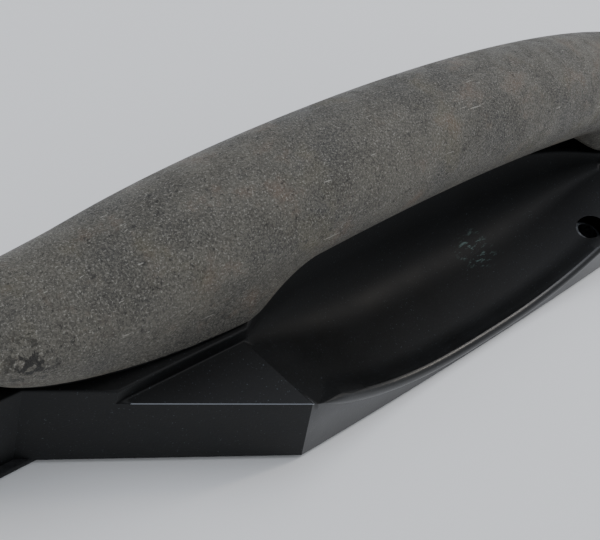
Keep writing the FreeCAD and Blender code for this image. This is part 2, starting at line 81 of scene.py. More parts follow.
def new_material(name, rough, metallic=0.0):
    """A node material, its tree, its shader and the position that its patterns read."""
    material = bpy.data.materials.new(name)
    material.use_nodes = True
    tree = material.node_tree
    shader = tree.nodes["Principled BSDF"]
    shader.inputs["Roughness"].default_value = rough
    shader.inputs["Metallic"].default_value = metallic
    return material, tree, shader, add_node(tree, "ShaderNodeTexCoord").outputs["Object"]


def show(name, mesh, material, smooth=30.0):
    """Put a mesh in the scene in one material, smooth except over edges sharper than an angle."""
    mesh.materials.clear()
    mesh.materials.append(material)
    mesh.polygons.foreach_set("use_smooth", [True] * len(mesh.polygons))
    mesh.set_sharp_from_angle(angle=math.radians(smooth))
    piece = bpy.data.objects.new(name, mesh)
    bpy.context.scene.collection.objects.link(piece)
    return piece


def mesh_of(name, points, faces):
    """A mesh from millimetre points, its doubles merged and its normals recalculated."""
    bm = bmesh.new()
    verts = [bm.verts.new(Vector(p) * MM) for p in points]
    for face in faces:
        bm.faces.new([verts[i] for i in face])
    bmesh.ops.remove_doubles(bm, verts=bm.verts, dist=0.02 * MM)
    bmesh.ops.dissolve_degenerate(bm, edges=bm.edges, dist=0.01 * MM)
    bmesh.ops.recalc_face_normals(bm, faces=bm.faces)
    mesh = bpy.data.meshes.new(name)
    bm.to_mesh(mesh)
    bm.free()
    return mesh


across = Vector((math.cos(VIEW_TURN), -math.sin(VIEW_TURN), 0))
ahead = Vector((math.sin(VIEW_TURN) * math.cos(VIEW_DROP),
                math.cos(VIEW_TURN) * math.cos(VIEW_DROP), -math.sin(VIEW_DROP)))
upward = across.cross(ahead)
rolled_across = across * math.cos(VIEW_ROLL) + upward * math.sin(VIEW_ROLL)
rolled_up = upward * math.cos(VIEW_ROLL) - across * math.sin(VIEW_ROLL)
camera = bpy.data.objects.new("camera", bpy.data.cameras.new("camera"))
camera.data.lens = LENS
camera.data.clip_start = 0.005
camera.matrix_world = Matrix.Translation(VIEW_PLACE) @ Matrix(
    (rolled_across, rolled_up, -ahead)).transposed().to_4x4()
bpy.context.scene.collection.objects.link(camera)
bpy.context.scene.camera = camera

laminate, tree, shader, place = new_material("matt_white_laminate", 0.85)
shader.inputs["Base Color"].default_value = linear("#f6f6f5")
shader.inputs["Specular IOR Level"].default_value = 0.2
table = show("table", mesh_of("table", [(x * TABLE_HALF, y * TABLE_HALF, -0.3) for x, y in
                                        ((-1, -1), (1, -1), (1, 1), (-1, 1))],
                              [(0, 1, 2, 3)]), laminate)

LAMPS = {                 # place in metres, width and length in metres, watts, colour
    "overhead_softbox": ((0.35, 0.10, 1.20), (1.2, 1.2), 10.0, "#eef3ff"),
    "bright_strip": ((0.95, -0.19, 0.78), (0.10, 0.55), 2.5, "#fff6ea"),
}
for lamp_name, (spot, (width, length), watts, tint) in LAMPS.items():
    lamp = bpy.data.objects.new(lamp_name, bpy.data.lights.new(lamp_name, "AREA"))
    lamp.data.shape = "RECTANGLE"
    lamp.data.size, lamp.data.size_y = width, length
    lamp.data.energy = watts
    lamp.data.color = linear(tint)[:3]
    lamp.location = spot
    lamp.rotation_euler = (-Vector(spot)).to_track_quat("-Z", "Y").to_euler()
    bpy.context.scene.collection.objects.link(lamp)
world = bpy.data.worlds.new("dim_room")
world.use_nodes = True
world.node_tree.nodes["Background"].inputs["Color"].default_value = linear("#e4e8ee")
world.node_tree.nodes["Background"].inputs["Strength"].default_value = 0.62
bpy.context.scene.world = world

# ------------------------------------------------------------------ base moulding
# Injection-moulded in glass-filled nylon, satin black: slanted facets, a low shelf in front
# of each seat, a scooped cup between them and a rolled lip along its front edge. It is
# hollow from behind, with bosses for the plate's screws and for the dowels.
base_low, base_high = (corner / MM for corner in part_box("base_shell"))
BASE_BOTTOM = base_low.z
SEAT_TOP = base_high.z
REAR = base_high.y
TONGUE = base_high.x
SHELF_TOP = 17.6
SEAT_SIDE = 13.2
FRONT = 32.0
BOW = 0.8
LEAN = 0.09
CORNER = 58.1
NECK = 103.25
TONGUE_HALF = 5.8
REAR_CORNER = 92.0
SLANT = (FRONT - TONGUE_HALF) / (NECK - CORNER)
REAR_SLANT = (REAR - TONGUE_HALF) / (NECK - REAR_CORNER)
STEP = NECK - (SEAT_SIDE - TONGUE_HALF) / SLANT
CUP_LENGTH = 63.0
CUP_FLOOR = 2.4
CUP_RIM = 1.5
CUP_VALLEY = 5.8
VALLEY_ROUND = 9.0
BEAD = 1.5
OVERHANG = 0.29
BEAD_BLEND = 3.2
CUP_COLUMNS = 64
WALL = 3.0
CEILING = 17.5
FERRULE = Vector((48.0, -25.0))
DOWEL_PLACE = 67.5
DOWEL_RADIUS = 2.0
SCREW_PLACE = 80.0
SLEEVE_RADIUS = 5.0
TAPPER_PLACE = Vector((30.0, 4.5))
TAPPER_RADIUS = 1.75


def slant_x(y, inset=0.0):
    """Where the slanted front facet, moved in by inset, is at a depth y in front."""
    return NECK - (y - TONGUE_HALF) / SLANT - inset * math.hypot(1, SLANT) / SLANT


def rear_x(y, inset=0.0):
    """The same for the facet behind."""
    return NECK - (y - TONGUE_HALF) / REAR_SLANT - inset * math.hypot(1, REAR_SLANT) / REAR_SLANT


def ease(t):
    t = min(max(t, 0.0), 1.0)
    return t * t * (3 - 2 * t)


def bend(before, here, after, reach, count):
    """Points round a corner: a parabola that starts and ends reach away from it."""
    back, on = before - here, after - here
    reach = min(reach, back.length * 0.48, on.length * 0.48)
    start = here + (back.normalized() * reach if back.length > 1e-6 else back)
    end = here + (on.normalized() * reach if on.length > 1e-6 else on)
    return [start * (1 - i / count) ** 2 + here * 2 * (i / count) * (1 - i / count)
            + end * (i / count) ** 2 for i in range(count + 1)]


def run(start, end, count):
    """Points between two ends, without the ends."""
    return [start.lerp(end, i / count) for i in range(1, count)]


def base_section(zone, t):
    """One section of the base on the +X side, from the rear foot edge over to the front."""
    lip = 0.0
    if zone == "cup":
        rear = Vector((t * CUP_LENGTH, REAR, 0))
        floor = CUP_FLOOR + (SHELF_TOP - CUP_FLOOR) * t ** 2.6
        rise = (floor - CUP_FLOOR) / (SEAT_TOP - CUP_FLOOR)
        rim = Vector((t * CUP_LENGTH, -CUP_RIM - (SEAT_SIDE - CUP_RIM) * t ** 3.5, SEAT_TOP))
        foot = -CUP_VALLEY - 9.8 * t ** 2
        valley = Vector((t * CUP_LENGTH, foot + (rim.y - foot) * rise, floor))
        lip = ease((0.985 - t) / 0.16)

        def front(z):
            return Vector((t * (CORNER + LEAN * z / SLANT),
                           -FRONT - BOW * (1 - t ** 2) + LEAN * z, z))
    elif zone == "shelf":
        x = CUP_LENGTH + (STEP - CUP_LENGTH) * t
        rear = Vector((CUP_LENGTH + (REAR_CORNER - CUP_LENGTH) * t, REAR, 0))
        floor = SHELF_TOP
        rim = Vector((x, -SEAT_SIDE, SEAT_TOP))
        valley = Vector((x, -SEAT_SIDE, SHELF_TOP))

        def front(z):
            x = (CORNER + LEAN * z / SLANT) * (1 - t) + STEP * t
            return Vector((x, SLANT * (x - NECK) - TONGUE_HALF, z))
    else:
        if zone == "neck":
            x = STEP + (NECK - STEP) * t
            half = TONGUE_HALF + (NECK - x) * SLANT
            rear = Vector((REAR_CORNER + (NECK - REAR_CORNER) * t,
                           REAR + (TONGUE_HALF - REAR) * t, 0))
        elif zone == "tongue":
            x = NECK + (TONGUE - TONGUE_HALF - NECK) * t
            half = TONGUE_HALF
            rear = Vector((x, half, 0))
        else:
            x = TONGUE - TONGUE_HALF + TONGUE_HALF * math.sin(math.pi / 2 * t)
            half = TONGUE_HALF * math.cos(math.pi / 2 * t)
            rear = Vector((x, half, 0))
        floor = SHELF_TOP
        rim = Vector((x, -half, SEAT_TOP))
        valley = Vector((x, -half, SHELF_TOP))

        def front(z):
            return Vector((x, -half, z))

    def lifted(point, z):
        return Vector((point.x, point.y, z))

    top = front(floor)
    bead = BEAD * lip
    centre = top + Vector((0, bead - OVERHANG * lip, 0))
    inside = top + Vector((0, BEAD_BLEND * 1.6 * lip, 0))
    crown = centre + Vector((0, 0.25 * bead, bead))
    round_valley = VALLEY_ROUND if zone == "cup" else 0.35
    path = [lifted(rear, BASE_BOTTOM)] + run(lifted(rear, BASE_BOTTOM), lifted(rear, SEAT_TOP), 4)
    path += bend(lifted(rear, BASE_BOTTOM), lifted(rear, SEAT_TOP), rim, 0.4, 4)
    path += run(path[-1], rim, 6)
    path += bend(lifted(rear, SEAT_TOP), rim, valley, 0.45 if zone != "cup" else 0.9, 4)
    path += run(path[-1], valley, 5)[:-1]
    path += bend(rim, valley, inside, round_valley, 12)
    path += run(path[-1], inside, 10)[:-1]
    if lip:
        path += bend(valley, inside, crown, BEAD_BLEND * lip, 5)
        for i in range(1, 14):
            turn = math.radians(80 + i * 11)
            path.append(centre + Vector((0, math.cos(turn), math.sin(turn))) * bead)
        path += run(path[-1], front(BASE_BOTTOM), 8)
    else:
        path += bend(valley, top, front(BASE_BOTTOM), 0.28, 18)
        path += run(path[-1], front(BASE_BOTTOM), 8)
    path.append(front(BASE_BOTTOM))
    return path


columns = [("cup", i / CUP_COLUMNS) for i in range(CUP_COLUMNS)]
for zone, count in (("shelf", 12), ("neck", 6), ("tongue", 4)):
    columns += [(zone, i / count) for i in range(count)]
columns += [("end", i / 10) for i in range(11)]
half_sections = [base_section(zone, t) for zone, t in columns]
sections = [[Vector((-p.x, p.y, p.z)) for p in s] for s in reversed(half_sections[1:])]
sections += half_sections
row = len(sections[0])
faces = [(c * row + r, c * row + (r + 1) % row, (c + 1) * row + (r + 1) % row, (c + 1) * row + r)
         for c in range(len(sections) - 1) for r in range(row)]
base_mesh = mesh_of("base_moulding", [p for section in sections for p in section], faces)


def prism(outline, low, high):
    """Points and faces of an upright prism."""
    count = len(outline)
    points = [(x, y, z) for z in (low, high) for x, y in outline]
    sides = [(i, (i + 1) % count, (i + 1) % count + count, i + count) for i in range(count)]
    return points, sides + [tuple(range(count)), tuple(range(count, 2 * count))]


def rod(x, y, radius, low, high, sides=48):
    turns = [2 * math.pi * i / sides for i in range(sides)]
    return prism([(x + radius * math.cos(a), y + radius * math.sin(a)) for a in turns], low, high)


def combine(mesh, operation, *solids):
    """Add solids to a mesh, or cut them out of it."""
    points, faces = [], []
    for solid_points, solid_faces in solids:
        faces += [tuple(i + len(points) for i in face) for face in solid_faces]
        points += solid_points
    body = bpy.data.objects.new("body", mesh)
    tool = bpy.data.objects.new("tool", mesh_of("tool", points, faces))
    for item in (body, tool):
        bpy.context.scene.collection.objects.link(item)
    step = body.modifiers.new("combine", "BOOLEAN")
    step.operation = operation
    step.solver = "EXACT"
    step.object = tool
    bpy.context.view_layer.update()
    result = bpy.data.meshes.new_from_object(
        body.evaluated_get(bpy.context.evaluated_depsgraph_get()))
    for item in (body, tool):
        bpy.data.objects.remove(item)
    return result


side_y = SEAT_SIDE - WALL - 1.0
throat = (NECK - WALL / 2, TONGUE_HALF - WALL * 0.75)
CAVITY_END = 109.25
FOOT_WALL = 67.5
HOLLOW_FRONT = -1.0
hollow_half = [(FOOT_WALL, HOLLOW_FRONT), (FOOT_WALL, -side_y),
               (slant_x(side_y, WALL), -side_y), (throat[0], -throat[1]),
               (CAVITY_END, -throat[1]), (CAVITY_END, throat[1]), throat,
               (REAR_CORNER - WALL, REAR - WALL)]
hollow = hollow_half + [(-x, y) for x, y in reversed(hollow_half)]
shelf_back = -SEAT_SIDE - WALL / 2
triangle = [(CORNER + 4, -FRONT + 7), (CORNER + 4, shelf_back),
            (slant_x(-shelf_back, WALL), shelf_back)]
BELOW = -1.0              # cutting solids start here, under the base
ABOVE = 2.0               # and reach this far past what they open
FERRULE_RADIUS = 3.5
TAPPER_BOSS = (3.6, 10.5)         # radius and lower end
DOWEL_BOSS = (4.0, 12.5)
cavities = [prism(hollow, BELOW, CEILING)]
cavities += [prism([(sign * x, y) for x, y in triangle], BELOW, SHELF_TOP - WALL)
             for sign in (-1, 1)]
cavities.append(rod(FERRULE.x, FERRULE.y, FERRULE_RADIUS, BELOW, SEAT_TOP))
base_mesh = combine(base_mesh, "DIFFERENCE", *cavities)
bosses, holes = [], []
for sign in (-1, 1):
    bosses.append(rod(sign * TAPPER_PLACE.x, TAPPER_PLACE.y, *TAPPER_BOSS, CEILING + 0.5))
    bosses.append(rod(sign * DOWEL_PLACE, 0, *DOWEL_BOSS, CEILING + 0.5))
    holes.append(rod(sign * TAPPER_PLACE.x, TAPPER_PLACE.y, TAPPER_RADIUS, 8.0, 17.0))
    holes.append(rod(sign * DOWEL_PLACE, 0, DOWEL_RADIUS, 14.5, SEAT_TOP + ABOVE))
    holes.append(rod(sign * SCREW_PLACE, 0, SLEEVE_RADIUS, 8.0, SEAT_TOP + ABOVE))
base_mesh = combine(base_mesh, "UNION", *bosses)
base_mesh = combine(base_mesh, "DIFFERENCE", *holes)


def per_mm(size):
    """The noise scale whose features are about this many millimetres wide."""
    return 1.0 / (size * MM)


def speckle(tree, place, size, low, high, detail=2.0, rough=0.5):
    """Noise of one real size, stretched between two limits."""
    grain = add_node(tree, "ShaderNodeTexNoise", {"Scale": per_mm(size), "Detail": detail,
                                                  "Roughness": rough}, Vector=place)
    return add_node(tree, "ShaderNodeMapRange", {"From Min": low, "From Max": high},
                    Value=grain.outputs["Fac"]).outputs["Result"]


def blend_colour(tree, factor, below, above, share=1.0):
    """Mix two colours, each a socket or a linear colour, by a share of the factor."""
    mix = add_node(tree, "ShaderNodeMix", {"data_type": "RGBA"})
    if share != 1.0:
        factor = add_node(tree, "ShaderNodeMath", {"operation": "MULTIPLY", 1: share},
                          i0=factor).outputs[0]
    tree.links.new(factor, mix.inputs[0])
    for number, colour in ((6, below), (7, above)):
        if isinstance(colour, tuple):
            mix.inputs[number].default_value = colour
        else:
            tree.links.new(colour, mix.inputs[number])
    return mix.outputs[2]


def roughen(tree, shader, factor, low, high):
    """Roughness that runs between two values with a pattern."""
    span = add_node(tree, "ShaderNodeMapRange", {"To Min": low, "To Max": high}, Value=factor)
    tree.links.new(span.outputs["Result"], shader.inputs["Roughness"])


def emboss(tree, shader, height, strength, depth):
    """Bump of a real depth in millimetres."""
    bump = add_node(tree, "ShaderNodeBump", {"Strength": strength, "Distance": depth * MM},
                    Height=height)
    tree.links.new(bump.outputs["Normal"], shader.inputs["Normal"])


# A fine spark-eroded mould texture, dulled by handling, with pale blue-green rub marks
# on the cup's floor. A pale line along each shelf's front edge is a painted highlight.
nylon, tree, shader, place = new_material("moulded_black_nylon", 0.4)
shader.inputs["Specular IOR Level"].default_value = 0.25
skin = speckle(tree, place, 0.45, 0.3, 0.7, 2.0)
haze = speckle(tree, place, 14.0, 0.35, 0.7, 4.0, 0.6)
dust = speckle(tree, place, 0.35, 0.70, 0.80, 1.0)
colour = blend_colour(tree, haze, linear("#060707"), linear("#0f1011"))
colour = blend_colour(tree, dust, colour, linear("#6d777f"), 0.35)
facing = add_node(tree, "ShaderNodeSeparateXYZ",
                  Vector=add_node(tree, "ShaderNodeNewGeometry").outputs["Normal"])
spot = add_node(tree, "ShaderNodeSeparateXYZ", Vector=place)
# Painted highlight: these tests pick out each shelf's rounded front edge by its normal and place.
tests = [add_node(tree, "ShaderNodeMath", {"operation": "COMPARE", 1: 0.6, 2: 0.34},
                  i0=facing.outputs["Z"]),
         add_node(tree, "ShaderNodeMath", {"operation": "LESS_THAN", 1: -0.35},
                  i0=facing.outputs["Y"]),
         add_node(tree, "ShaderNodeMath", {"operation": "COMPARE", 1: SHELF_TOP * MM,
                                           2: 0.35 * MM}, i0=spot.outputs["Z"]),
         add_node(tree, "ShaderNodeMath", {"operation": "LESS_THAN",
                                           1: (-SEAT_SIDE - 1.2) * MM}, i0=spot.outputs["Y"])]
painted_edge_glint = tests[0].outputs[0]
for test in tests[1:]:
    painted_edge_glint = add_node(tree, "ShaderNodeMath", {"operation": "MULTIPLY"}, i0=painted_edge_glint,
                      i1=test.outputs[0]).outputs[0]
# Painted highlight: the shelf edges are mixed towards pale grey to stand in for a lamp's glint.
colour = blend_colour(tree, painted_edge_glint, colour, linear("#8c9096"), 0.8)
tree.links.new(colour, shader.inputs["Base Color"])
worn = add_node(tree, "ShaderNodeMapRange", {"From Min": -29.6 * MM, "From Max": -31.2 * MM},
                Value=spot.outputs["Y"]).outputs["Result"]
ahead_only = add_node(tree, "ShaderNodeMath", {"operation": "COMPARE", 1: 0.0, 2: 0.36},
                      i0=facing.outputs["X"]).outputs[0]
worn = add_node(tree, "ShaderNodeMath", {"operation": "MULTIPLY"}, i0=worn,
                i1=ahead_only).outputs[0]
rub_place = add_node(tree, "ShaderNodeVectorMath", {"operation": "DISTANCE",
                                                    1: (18.5 * MM, -12 * MM, 3.2 * MM)},
                     i0=place).outputs["Value"]
near = add_node(tree, "ShaderNodeMapRange", {"From Min": 6.5 * MM, "From Max": 2.0 * MM},
                Value=rub_place).outputs["Result"]
stretched = add_node(tree, "ShaderNodeMapping", {"Rotation": (0, 0, 0.9),
                                                 "Scale": (0.25, 1.0, 1.0)}, Vector=place)
scratch = speckle(tree, stretched.outputs["Vector"], 0.8, 0.56, 0.66, 3.0, 0.7)
scratch = add_node(tree, "ShaderNodeMath", {"operation": "MULTIPLY"}, i0=scratch,
                   i1=near).outputs[0]
colour = blend_colour(tree, scratch, colour, linear("#8fb0aa"), 0.40)
tree.links.new(colour, shader.inputs["Base Color"])
matt = add_node(tree, "ShaderNodeMapRange", {"To Min": 0.52, "To Max": 0.28}, Value=worn)
smear = add_node(tree, "ShaderNodeMath", {"operation": "MULTIPLY", 1: 0.08}, i0=haze)
rough = add_node(tree, "ShaderNodeMath", {"operation": "ADD"}, i0=matt.outputs["Result"],
                 i1=smear.outputs[0])
tree.links.new(rough.outputs[0], shader.inputs["Roughness"])
gloss = add_node(tree, "ShaderNodeMapRange", {"To Min": 0.22, "To Max": 0.5}, Value=worn)
tree.links.new(gloss.outputs["Result"], shader.inputs["Specular IOR Level"])
emboss(tree, shader, skin, 0.3, 0.03)

base = show("base_moulding", base_mesh, nylon, 24.0)
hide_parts("base_shell")
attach(base, "root")

# ------------------------------------------------------------------ wall gasket
# Die-cut closed-cell foam, stuck to the base's back. It is set in a little under the walls,
# so it can't be seen from the front, and stands proud round the tongues.
foam_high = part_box("wall_gasket")[1] / MM
FOAM_TOP = foam_high.z
FOAM_TONGUE = foam_high.x - (TONGUE - TONGUE_HALF)
FOAM_INSET = 0.7
FOAM_ROUND = 0.25
FOAM_CUT = 3.0            # the holes are cut from BELOW up to here
STANDOFF_PLACE = 96.0


def foam_outline(shrink):
    """The gasket's plan, moved in all round by shrink."""
    half = FOAM_TONGUE - shrink
    end = TONGUE - TONGUE_HALF
    inset = FOAM_INSET + shrink
    near, far = FRONT - inset, REAR - inset
    right = [(slant_x(near, inset), -near), (slant_x(half, inset), -half)]
    right += [(end + half * math.cos(a), half * math.sin(a))
              for a in (math.pi * (i / 24 - 0.5) for i in range(25))]
    right += [(rear_x(half, inset), half), (rear_x(far, inset), far)]
    left = [(-x, y) for x, y in reversed(right)]
    reach = right[0][0]
    bowed = [(reach * i / 20, -near - BOW * (1 - (i / 20) ** 2)) for i in range(-19, 20)]
    return right + left + bowed


rings = []
for z, shrink in ((0, FOAM_ROUND), (0.1, 0.08), (0.3, 0), (FOAM_TOP - 0.3, 0),
                  (FOAM_TOP - 0.1, 0.08), (FOAM_TOP, FOAM_ROUND)):
    rings.append([(x, y, z) for x, y in foam_outline(shrink)])
count = len(rings[0])
faces = [(k * count + i, k * count + (i + 1) % count, (k + 1) * count + (i + 1) % count,
          (k + 1) * count + i) for k in range(len(rings) - 1) for i in range(count)]
faces += [tuple(range(count)), tuple(range((len(rings) - 1) * count, len(rings) * count))]
foam_holes = [rod(FERRULE.x, FERRULE.y, 4.0, BELOW, FOAM_CUT)]
for sign in (-1, 1):
    foam_holes += [rod(sign * SCREW_PLACE, 0, 7.0, BELOW, FOAM_CUT),
                   rod(sign * STANDOFF_PLACE, 0, 5.5, BELOW, FOAM_CUT)]
foam_mesh = combine(mesh_of("wall_gasket", [p for ring in rings for p in ring], faces),
                    "DIFFERENCE", *foam_holes)

# Soft matt black, with the cut cells showing as fine pores.
foam, tree, shader, place = new_material("closed_cell_foam", 0.9)
cells = add_node(tree, "ShaderNodeTexVoronoi", {"Scale": per_mm(0.6)}, Vector=place)
tree.links.new(blend_colour(tree, cells.outputs["Distance"], linear("#0c0c0d"),
                            linear("#222324")), shader.inputs["Base Color"])
emboss(tree, shader, cells.outputs["Distance"], 0.6, 0.08)
gasket = show("wall_gasket_foam", foam_mesh, foam)
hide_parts("wall_gasket")
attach(gasket, "root")

# ------------------------------------------------------------------ backing plate
# Laser-cut mild steel strip, zinc-plated: it spreads the pull between the two feet. Its
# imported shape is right, so only its finish is made here.
zinc, tree, shader, place = new_material("zinc_plated_steel", 0.35, 1.0)
spangle = speckle(tree, place, 3.0, 0.35, 0.65, 3.0)
brushed = add_node(tree, "ShaderNodeMapping", {"Scale": (0.08, 1.0, 1.0)}, Vector=place)
lines = speckle(tree, brushed.outputs["Vector"], 0.25, 0.3, 0.7)
tree.links.new(blend_colour(tree, spangle, linear("#a9adb0"), linear("#c4c8ca")),
               shader.inputs["Base Color"])
roughen(tree, shader, lines, 0.28, 0.48)
emboss(tree, shader, lines, 0.2, 0.01)


def finish(names, material):
    """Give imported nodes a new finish."""
    for name in names:
        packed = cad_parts[name]
        for number in range(len(packed.material_slots)):
            packed.material_slots[number].material = material


finish(["backing_plate"], zinc)

# ------------------------------------------------------------------ wall standoffs
# Turned steel barrels with an M6 thread, pressed into the ends of the plate: the wall bolts
# go into them from behind.
standoff_low, standoff_high = (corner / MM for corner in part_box("mount_standoff_left"))


def socket_in(tree, name, kind):
    return tree.interface.new_socket(name, in_out="INPUT", socket_type=kind)


def start_tree(name, floats, ints=()):
    """An empty geometry tree with named size inputs and the inputs that place a row of copies."""
    tree = bpy.data.node_groups.new(name, "GeometryNodeTree")
    for label in floats:
        socket_in(tree, label, "NodeSocketFloat")
    for label in ints:
        socket_in(tree, label, "NodeSocketInt")
    socket_in(tree, "Start", "NodeSocketVector")
    socket_in(tree, "Step", "NodeSocketVector")
    socket_in(tree, "Copies", "NodeSocketInt")
    socket_in(tree, "Finish", "NodeSocketMaterial")
    tree.interface.new_socket("Geometry", in_out="OUTPUT", socket_type="NodeSocketGeometry")
    return tree, tree.nodes.new("NodeGroupInput").outputs


def calc(tree, operation, first, second=0.0, third=0.0):
    """A Math node on sockets or plain numbers."""
    node = add_node(tree, "ShaderNodeMath", {"operation": operation})
    for number, value in enumerate((first, second, third)):
        if isinstance(value, (int, float)):
            node.inputs[number].default_value = value
        else:
            tree.links.new(value, node.inputs[number])
    return node.outputs[0]


def close_tree(tree, given, part):
    """Copy a part along its row, make the copies real and give them their material."""
    line = add_node(tree, "GeometryNodeMeshLine", {"mode": "OFFSET"}, Count=given["Copies"],
                    Start_Location=given["Start"], Offset=given["Step"])
    copies = add_node(tree, "GeometryNodeInstanceOnPoints", Points=line.outputs[0],
                      Instance=part)
    real = add_node(tree, "GeometryNodeRealizeInstances", Geometry=copies.outputs[0])
    dressed = add_node(tree, "GeometryNodeSetMaterial", Geometry=real.outputs[0],
                       Material=given["Finish"])
    add_node(tree, "NodeGroupOutput", Geometry=dressed.outputs[0])


def corrugate(tree, part, height):
    """Push a part's skin outwards from its axis by a height."""
    spot = add_node(tree, "GeometryNodeInputPosition").outputs[0]
    axes = add_node(tree, "ShaderNodeSeparateXYZ", Vector=spot).outputs
    flat = add_node(tree, "ShaderNodeCombineXYZ", X=axes[0], Y=axes[1]).outputs[0]
    outward = add_node(tree, "ShaderNodeVectorMath", {"operation": "NORMALIZE"}, i0=flat)
    push = add_node(tree, "ShaderNodeVectorMath", {"operation": "SCALE"}, i0=outward.outputs[0],
                    Scale=height)
    return add_node(tree, "GeometryNodeSetPosition", Geometry=part, Offset=push.outputs[0])


def around(tree):
    """The turn about the axis, from 0 to 1, the height along it and the radius."""
    spot = add_node(tree, "GeometryNodeInputPosition").outputs[0]
    axes = add_node(tree, "ShaderNodeSeparateXYZ", Vector=spot).outputs
    angle = calc(tree, "ARCTAN2", axes[1], axes[0])
    turn = calc(tree, "DIVIDE", angle, 2 * math.pi)
    square = calc(tree, "MULTIPLY_ADD", axes[0], axes[0], calc(tree, "MULTIPLY", axes[1],
                                                               axes[1]))
    return turn, axes[2], calc(tree, "SQRT", square)


def grow(name, tree, values, material):
    """Run a geometry tree on an empty mesh and return what it makes as a plain piece."""
    holder = bpy.data.objects.new(name, bpy.data.meshes.new(name))
    bpy.context.scene.collection.objects.link(holder)
    step = holder.modifiers.new("grow", "NODES")
    step.node_group = tree
    for item in tree.interface.items_tree:
        if item.in_out == "INPUT" and item.name in values:
            step[item.identifier] = values[item.name]
        elif item.in_out == "INPUT" and item.name == "Finish":
            step[item.identifier] = material
    bpy.context.view_layer.update()
    mesh = bpy.data.meshes.new_from_object(
        holder.evaluated_get(bpy.context.evaluated_depsgraph_get()))
    bpy.data.objects.remove(holder)
    bm = bmesh.new()
    bm.from_mesh(mesh)
    bmesh.ops.remove_doubles(bm, verts=bm.verts, dist=0.001 * MM)
    bmesh.ops.recalc_face_normals(bm, faces=bm.faces)
    bm.to_mesh(mesh)
    bm.free()
    mesh.name = name
    return show(name, mesh, material)


# Any turned ring: a tube with knurls round its outside and a thread in its bore.
ring_tree, given = start_tree(
    "turned_ring", ("Outer Radius", "Bore Radius", "Height", "Knurl Depth", "Thread Pitch",
                    "Thread Depth"), ("Knurls", "Cuts"))
middle = calc(ring_tree, "MULTIPLY", calc(ring_tree, "ADD", given["Outer Radius"],
                                          given["Bore Radius"]), 0.5)
thick = calc(ring_tree, "SUBTRACT", given["Outer Radius"], given["Bore Radius"])
path = add_node(ring_tree, "GeometryNodeCurvePrimitiveCircle", {"Resolution": 96},
                Radius=middle)
wall = add_node(ring_tree, "GeometryNodeCurvePrimitiveQuadrilateral", i0=thick,
                i1=given["Height"])
wall = add_node(ring_tree, "GeometryNodeSubdivideCurve", Curve=wall.outputs[0],
                Cuts=given["Cuts"])
tube = add_node(ring_tree, "GeometryNodeCurveToMesh", Curve=path.outputs[0],
                Profile_Curve=wall.outputs[0])
turn, height, radius = around(ring_tree)
outside = calc(ring_tree, "GREATER_THAN", radius, middle)
knurl = calc(ring_tree, "PINGPONG", calc(ring_tree, "MULTIPLY", turn, given["Knurls"]), 0.5)
knurl = calc(ring_tree, "MULTIPLY", knurl, given["Knurl Depth"])
thread = calc(ring_tree, "ADD", calc(ring_tree, "DIVIDE", height, given["Thread Pitch"]), turn)
thread = calc(ring_tree, "MULTIPLY", calc(ring_tree, "PINGPONG", thread, 0.5),
              given["Thread Depth"])
push = calc(ring_tree, "SUBTRACT",
            calc(ring_tree, "MULTIPLY", thread, calc(ring_tree, "SUBTRACT", 1.0, outside)),
            calc(ring_tree, "MULTIPLY", knurl, outside))
close_tree(ring_tree, given, corrugate(ring_tree, tube.outputs[0], push).outputs[0])


def ring_sizes(outer, bore, low, high, place, copies=2, **more):
    """Inputs of a ring, or of a pair either side of the middle, in metres."""
    values = {"Outer Radius": outer * MM, "Bore Radius": bore * MM, "Height": (high - low) * MM,
              "Knurl Depth": 0.0, "Thread Pitch": 1.0, "Thread Depth": 0.0, "Knurls": 0,
              "Cuts": 2, "Copies": copies,
              "Start": (place[0] * MM, place[1] * MM, (low + high) / 2 * MM),
              "Step": (-2 * place[0] * MM, 0.0, 0.0)}
    return values | more


bright_steel, tree, shader, place = new_material("turned_steel", 0.3, 1.0)
grooves = add_node(tree, "ShaderNodeMapping", {"Scale": (0.1, 0.1, 1.0)}, Vector=place)
turned = speckle(tree, grooves.outputs["Vector"], 0.12, 0.3, 0.7)
tree.links.new(blend_colour(tree, turned, linear("#8f9295"), linear("#b3b6b8")),
               shader.inputs["Base Color"])
roughen(tree, shader, turned, 0.25, 0.42)
standoffs = grow("wall_standoffs", ring_tree,
                 ring_sizes(5.0, 2.5, standoff_low.z, 8.0, (STANDOFF_PLACE, 0), Cuts=60,
                            **{"Thread Pitch": 1.0 * MM, "Thread Depth": 0.5 * MM}),
                 bright_steel)
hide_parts("mount_standoff_left", "mount_standoff_right")
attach(standoffs, "root")

# ------------------------------------------------------------------ plate screws, sleeves, dowels
# Two thread-forming screws hold the plate to the moulding's bosses. A steel sleeve carries
# each foot screw's pull from plate to stone, and a ground dowel stops each foot turning.
SLEEVE_BORE = 3.3
TAPPER_HEAD = 3.5

